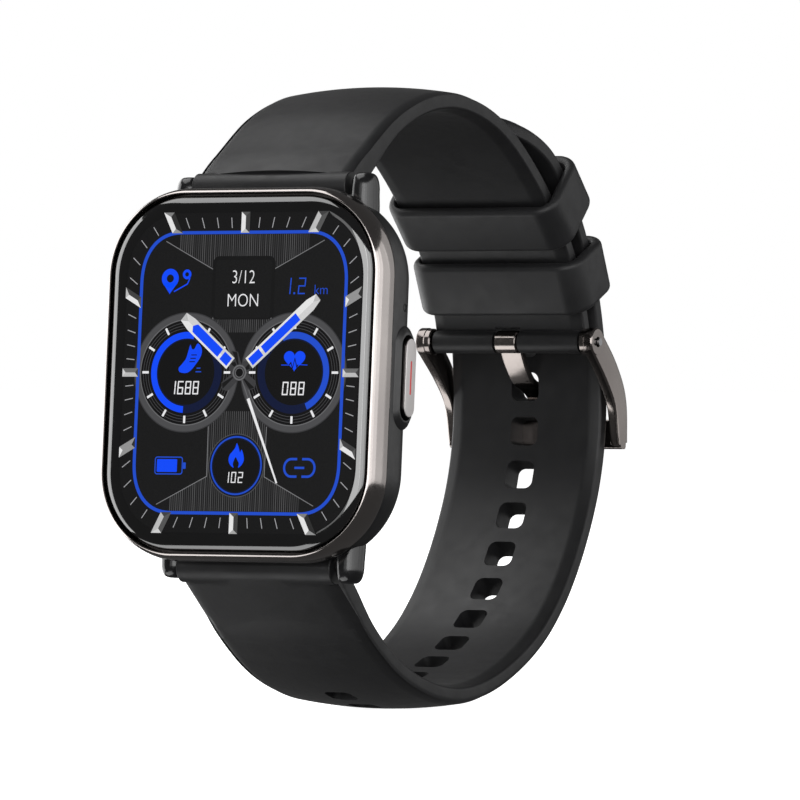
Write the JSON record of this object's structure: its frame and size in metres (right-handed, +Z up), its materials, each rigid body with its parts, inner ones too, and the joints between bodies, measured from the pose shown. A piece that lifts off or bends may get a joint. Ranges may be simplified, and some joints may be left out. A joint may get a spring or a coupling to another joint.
{
  "type": "smartwatch",
  "caption": "Rectangular smartwatch with a lit analogue dial, side button and buckled silicone strap, standing on its closed strap loop.",
  "frame": {"origin": "middle of the sensor window's outer face, on the wrist side of the case", "axes": "+X to three o'clock, out of the button; +Z up along the dial, which leans back 4.8 degrees; -Y out of the dial; +Y into the strap loop"},
  "size_m": [0.0404, 0.0845, 0.0795],
  "materials": {
    "gunmetal": "polished, warm grey",
    "satin_black_plastic": "satin",
    "black_glass": "polished, opaque black glass",
    "display": "unlit black with blue and white graphics",
    "adhesive": "matt",
    "sensor_black": "polished",
    "gold": "gold plated",
    "steel": "plain",
    "board": "solder mask",
    "tin": "plain",
    "foil": "foil",
    "polyimide": "amber film",
    "part_black": "matt",
    "tungsten": "sintered",
    "button_metal": "satin, pale champagne",
    "silicone": "soft satin"
  },
  "bodies": {
    "watch": {"case_body": "satin_black_plastic", "back_cover": "satin_black_plastic", "bezel_frame": "gunmetal", "cover_glass": "black_glass", "glass_adhesive": "adhesive", "display_panel": "display", "sensor_window": "sensor_black", "sensor_board": "board", "charge_contact_left": "gold", "charge_contact_right": "gold", "case_screw_upper_left": "steel", "case_screw_upper_right": "steel", "case_screw_lower_left": "steel", "case_screw_lower_right": "steel", "main_board": "board", "shield_can": "tin", "battery": "foil", "display_flex": "polyimide", "vibration_motor_can": "tin", "speaker": "part_black", "microphone": "tin", "button_switch": "part_black", "button_flex": "polyimide", "spring_bar_upper": "steel", "spring_bar_lower": "steel", "bar_spring_upper": "steel", "bar_spring_lower": "steel", "strap_upper": "silicone", "strap_lower": "silicone", "keeper_fixed": "silicone", "buckle_pin": "steel"},
    "button": {"button_cap": "button_metal", "button_seal": "adhesive", "button_clip": "steel"},
    "motor_rotor": {"vibration_weight": "tungsten"},
    "free_keeper": {"keeper_free": "silicone"},
    "buckle": {"buckle_frame": "gunmetal"},
    "tongue": {"buckle_tongue": "gunmetal"},
    "upper_bar_tip": {"spring_bar_tip_upper": "steel"},
    "lower_bar_tip": {"spring_bar_tip_lower": "steel"}
  },
  "joints": [
    {"name": "button_press", "type": "slide", "parent": "watch", "child": "button", "axis": [-1, 0, 0], "range_m": [0, 0.0005], "stiffness_N_per_m": 800},
    {"name": "motor_spin", "type": "hinge", "parent": "watch", "child": "motor_rotor", "pos_m": [-0.0108, -0.00455, 0.01513], "axis": [0, 0.9965, -0.0837], "continuous": true},
    {"name": "free_keeper_slide", "type": "slide", "parent": "watch", "child": "free_keeper", "axis": [0, 0.6803, -0.733], "range_m": [-0.0015, 0.0015]},
    {"name": "buckle_swing", "type": "hinge", "parent": "watch", "child": "buckle", "pos_m": [0, 0.06102, 0.00481], "axis": [1, 0, 0], "range_deg": [0, 2.5]},
    {"name": "tongue_lift", "type": "hinge", "parent": "buckle", "child": "tongue", "pos_m": [0, 0.06102, 0.00481], "axis": [1, 0, 0], "range_deg": [0, 2.5]},
    {"name": "upper_bar_release", "type": "slide", "parent": "watch", "child": "upper_bar_tip", "axis": [-1, 0, 0], "range_m": [0, 0.0012], "stiffness_N_per_m": 500, "springref_m": -0.0005},
    {"name": "lower_bar_release", "type": "slide", "parent": "watch", "child": "lower_bar_tip", "axis": [-1, 0, 0], "range_m": [0, 0.0012], "stiffness_N_per_m": 500, "springref_m": -0.0005}
  ]
}
